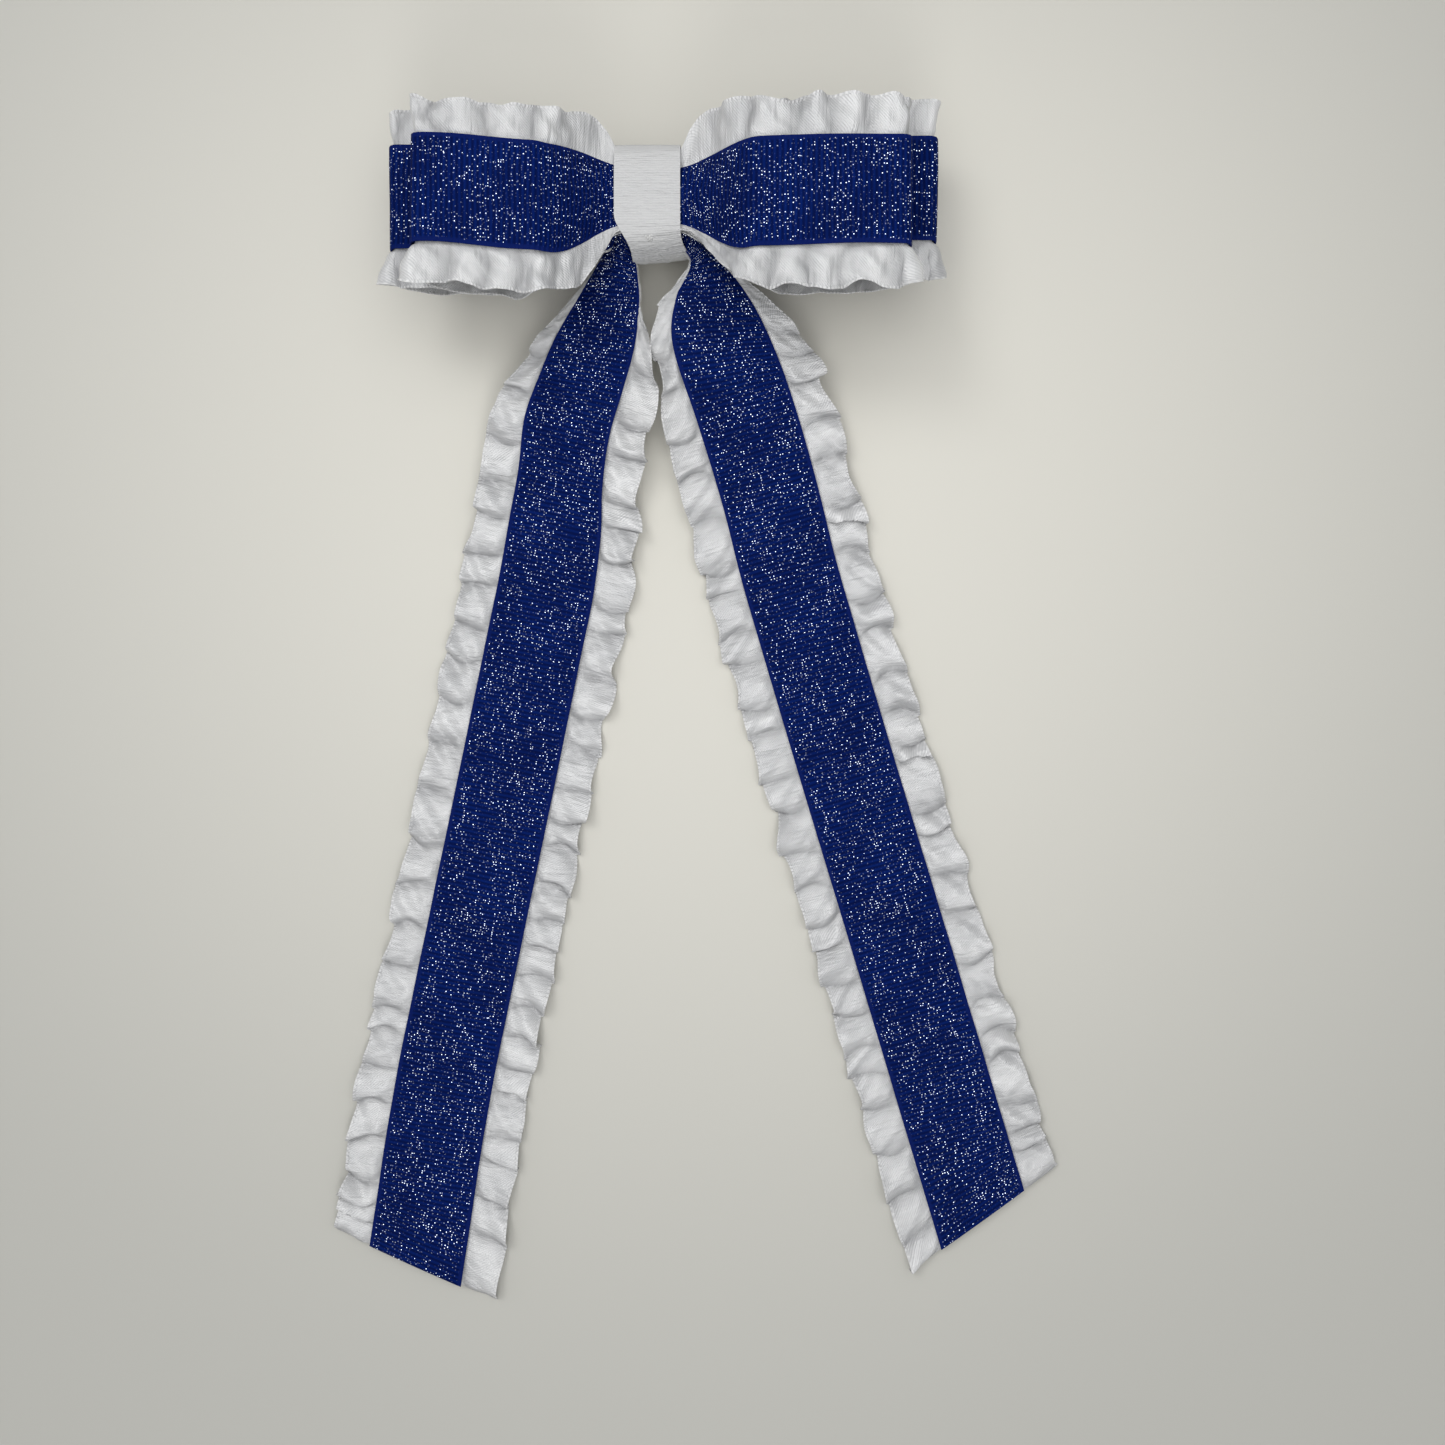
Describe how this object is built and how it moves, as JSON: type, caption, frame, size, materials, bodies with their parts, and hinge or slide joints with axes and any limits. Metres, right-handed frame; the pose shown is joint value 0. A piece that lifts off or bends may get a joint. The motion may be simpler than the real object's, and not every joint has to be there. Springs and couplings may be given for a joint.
{
  "type": "cheer hair bow",
  "caption": "Stacked ribbon hair bow with gathered ruffle edging, a centre wrap, long slant-cut tails and a sprung hair barrette underneath.",
  "frame": {"origin": "on the flat underside of the barrette's clasp arm, below the middle of the bow's waist", "axes": "+Z out of the side that shows, +Y towards the top of the bow, tails running towards -Y, +X to the right as seen from the front"},
  "size_m": [0.1906, 0.3078, 0.042],
  "materials": {
    "glitter_ribbon": "royal blue grosgrain with cross ribs and scattered silver glitter",
    "ruffle_satin": "white satin with a soft sheen and a fine picot edge",
    "wrap_grosgrain": "white fine-ribbed grosgrain, matte",
    "thread": "white sewing thread",
    "hot_glue": "cloudy hot-melt glue",
    "barrette_steel": "nickel-plated stamped steel",
    "spring_steel": "thin polished spring steel"
  },
  "bodies": {
    "bow": {"center_wrap": "wrap_grosgrain", "front_loops_ribbon": "glitter_ribbon", "front_loops_ruffle": "ruffle_satin", "back_loops_ribbon": "glitter_ribbon", "back_loops_ruffle": "ruffle_satin", "tail_fold_ribbon": "glitter_ribbon", "tail_fold_ruffle": "ruffle_satin", "back_loops_thread": "thread", "tail_fold_thread": "thread", "front_loops_thread": "thread", "glue_pad": "hot_glue", "barrette_plate": "barrette_steel", "barrette_catch": "barrette_steel", "catch_rivet": "barrette_steel", "hinge_pin": "barrette_steel"},
    "left_tail": {"left_tail_ribbon": "glitter_ribbon", "left_tail_ruffle": "ruffle_satin"},
    "right_tail": {"right_tail_ribbon": "glitter_ribbon", "right_tail_ruffle": "ruffle_satin"},
    "tension_bar": {"tension_bar": "spring_steel"},
    "clasp_arm": {"clasp_arm": "barrette_steel"}
  },
  "joints": [
    {"name": "left_tail_lift", "type": "hinge", "parent": "bow", "child": "left_tail", "pos_m": [-0.0146, -0.029, 0.012], "axis": [-1, 0, 0], "range_deg": [0, 80]},
    {"name": "right_tail_lift", "type": "hinge", "parent": "bow", "child": "right_tail", "pos_m": [0.0178, -0.029, 0.012], "axis": [-1, 0, 0], "range_deg": [0, 80]},
    {"name": "tension_bar_press", "type": "slide", "parent": "bow", "child": "tension_bar", "axis": [0, 0, 1], "range_m": [0, 0.0005], "stiffness_N_per_m": 800},
    {"name": "clasp_open", "type": "hinge", "parent": "bow", "child": "clasp_arm", "pos_m": [-0.0385, 0, 0.0024], "axis": [0, 1, 0], "range_deg": [0, 70]}
  ]
}
